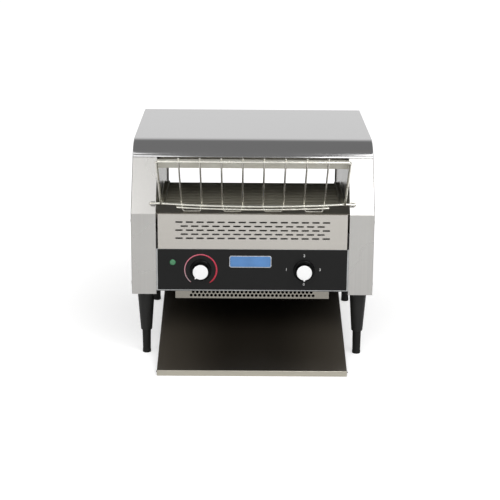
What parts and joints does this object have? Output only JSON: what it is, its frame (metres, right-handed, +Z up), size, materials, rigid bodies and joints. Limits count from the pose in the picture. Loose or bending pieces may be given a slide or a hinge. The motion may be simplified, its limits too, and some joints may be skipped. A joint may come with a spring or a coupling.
{
  "type": "conveyor toaster",
  "caption": "Countertop conveyor toaster: bread slides from a wire rack on to a chain belt between heaters and drops on to a sloping tray.",
  "frame": {"origin": "centre of the footprint at floor level", "axes": "+X the machine's right seen from the front, +Y its back, +Z up"},
  "size_m": [0.4738, 0.5495, 0.4288],
  "materials": {
    "brushed_steel_cover": "fine brushed stainless sheet",
    "brushed_steel_front": "fine brushed stainless sheet",
    "inner_steel": "heat-dulled stainless sheet",
    "zinc_steel": "zinc-coated sheet",
    "black_fascia": "satin black plate",
    "black_tray": "semi-gloss black enamel",
    "belt_wire": "heat-darkened steel wire",
    "chain_steel": "oiled steel chain",
    "shaft_steel": "ground steel bar",
    "wheel_steel": "machined steel",
    "bronze": "sintered bronze",
    "motor_grey": "grey motor enamel",
    "heater_sheath": "oxidised heater sheath",
    "ceramic": "unglazed ceramic",
    "mineral_wool": "mineral fibre blanket",
    "black_leg": "satin black moulding",
    "bolt_zinc": "zinc-coated fastener",
    "rack_chrome": "bright chromed wire",
    "knob_black": "satin black moulding",
    "cap_silver": "bright turned disc",
    "spindle_brass": "turned brass",
    "control_plastic": "black moulding",
    "lamp_green": "clear green lens",
    "terminal_white": "white moulding"
  },
  "bodies": {
    "housing": {"air_inlet": "brushed_steel_front", "base_pan": "zinc_steel", "belt_chains": "chain_steel", "belt_rods": "belt_wire", "cable_gland": "control_plastic", "control_fascia": "black_fascia", "control_panel": "zinc_steel", "cover_screws": "bolt_zinc", "drive_chain": "chain_steel", "fan_frame": "control_plastic", "feed_shelf": "inner_steel", "front_grille": "brushed_steel_front", "gear_motor": "motor_grey", "heat_shield": "zinc_steel", "heater_insulators": "ceramic", "heater_relay": "terminal_white", "hood": "brushed_steel_cover", "insulation_blanket": "mineral_wool", "left_inner_wall": "inner_steel", "left_side_cover": "brushed_steel_cover", "leg_bolts": "bolt_zinc", "leg_cones": "black_leg", "lower_heaters": "heater_sheath", "lower_reflector": "inner_steel", "pilot_body": "control_plastic", "pilot_lens": "lamp_green", "rack_clips": "zinc_steel", "rear_chute": "inner_steel", "rear_lower_panel": "brushed_steel_front", "rear_upper_panel": "brushed_steel_front", "right_inner_wall": "inner_steel", "right_side_cover": "brushed_steel_cover", "selector_switch": "control_plastic", "shaft_bushes": "bronze", "speed_control": "control_plastic", "terminal_block": "terminal_white", "tray_brackets": "zinc_steel", "tray_rod": "zinc_steel", "upper_heater_box": "inner_steel", "upper_heaters": "heater_sheath"},
    "drive_shaft_set": {"drive_shaft": "shaft_steel", "drive_sprockets": "wheel_steel", "drive_wheel": "wheel_steel"},
    "idler_shaft_set": {"idler_shaft": "shaft_steel", "idler_sprockets": "wheel_steel"},
    "motor_output": {"motor_shaft": "shaft_steel", "motor_wheel": "wheel_steel"},
    "fan": {"fan_rotor": "control_plastic"},
    "speed_dial": {"speed_knob": "knob_black", "speed_knob_cap": "cap_silver", "speed_spindle": "spindle_brass"},
    "selector_dial": {"selector_knob": "knob_black", "selector_knob_cap": "cap_silver", "selector_spindle": "spindle_brass"},
    "rack": {"feed_rack": "rack_chrome"},
    "tray": {"toast_tray": "black_tray"},
    "foot_front_left_leveller": {"foot_front_left": "black_leg"},
    "foot_front_right_leveller": {"foot_front_right": "black_leg"},
    "foot_rear_left_leveller": {"foot_rear_left": "black_leg"},
    "foot_rear_right_leveller": {"foot_rear_right": "black_leg"}
  },
  "joints": [
    {"name": "drive_spin", "type": "hinge", "parent": "housing", "child": "drive_shaft_set", "pos_m": [0, 0.10902, 0.264], "axis": [-1, 0, 0], "continuous": true, "deforming": ["belt_chains", "drive_chain"]},
    {"name": "idler_spin", "type": "hinge", "parent": "housing", "child": "idler_shaft_set", "pos_m": [0, -0.08148, 0.264], "axis": [-1, 0, 0], "continuous": true},
    {"name": "motor_spin", "type": "hinge", "parent": "housing", "child": "motor_output", "pos_m": [0, 0.03555, 0.17644], "axis": [-1, 0, 0], "continuous": true},
    {"name": "fan_spin", "type": "hinge", "parent": "housing", "child": "fan", "pos_m": [-0.04, -0.10448, 0.1394], "axis": [0, 0, 1], "continuous": true},
    {"name": "speed_turn", "type": "hinge", "parent": "housing", "child": "speed_dial", "pos_m": [-0.1005, -0.16448, 0.1815], "axis": [0, 1, 0], "range_deg": [0, 270]},
    {"name": "selector_turn", "type": "hinge", "parent": "housing", "child": "selector_dial", "pos_m": [0.1005, -0.16448, 0.1815], "axis": [0, 1, 0], "range_deg": [0, 270]},
    {"name": "rack_lift_off", "type": "slide", "parent": "housing", "child": "rack", "axis": [0, -0.8188, 0.5741], "range_m": [0, 0.2]},
    {"name": "tray_pull_out", "type": "slide", "parent": "housing", "child": "tray", "axis": [0, -1, 0], "range_m": [0, 0.43]},
    {"name": "foot_front_left_level", "type": "slide", "parent": "housing", "child": "foot_front_left_leveller", "axis": [0, 0, 1], "range_m": [-0.015, 0.025]},
    {"name": "foot_front_right_level", "type": "slide", "parent": "housing", "child": "foot_front_right_leveller", "axis": [0, 0, 1], "range_m": [-0.015, 0.025]},
    {"name": "foot_rear_left_level", "type": "slide", "parent": "housing", "child": "foot_rear_left_leveller", "axis": [0, 0, 1], "range_m": [-0.015, 0.025]},
    {"name": "foot_rear_right_level", "type": "slide", "parent": "housing", "child": "foot_rear_right_leveller", "axis": [0, 0, 1], "range_m": [-0.015, 0.025]}
  ],
  "couplings": [
    {"joint": "idler_spin", "follows": "drive_spin", "ratio": 1},
    {"joint": "motor_spin", "follows": "drive_spin", "ratio": 1}
  ]
}
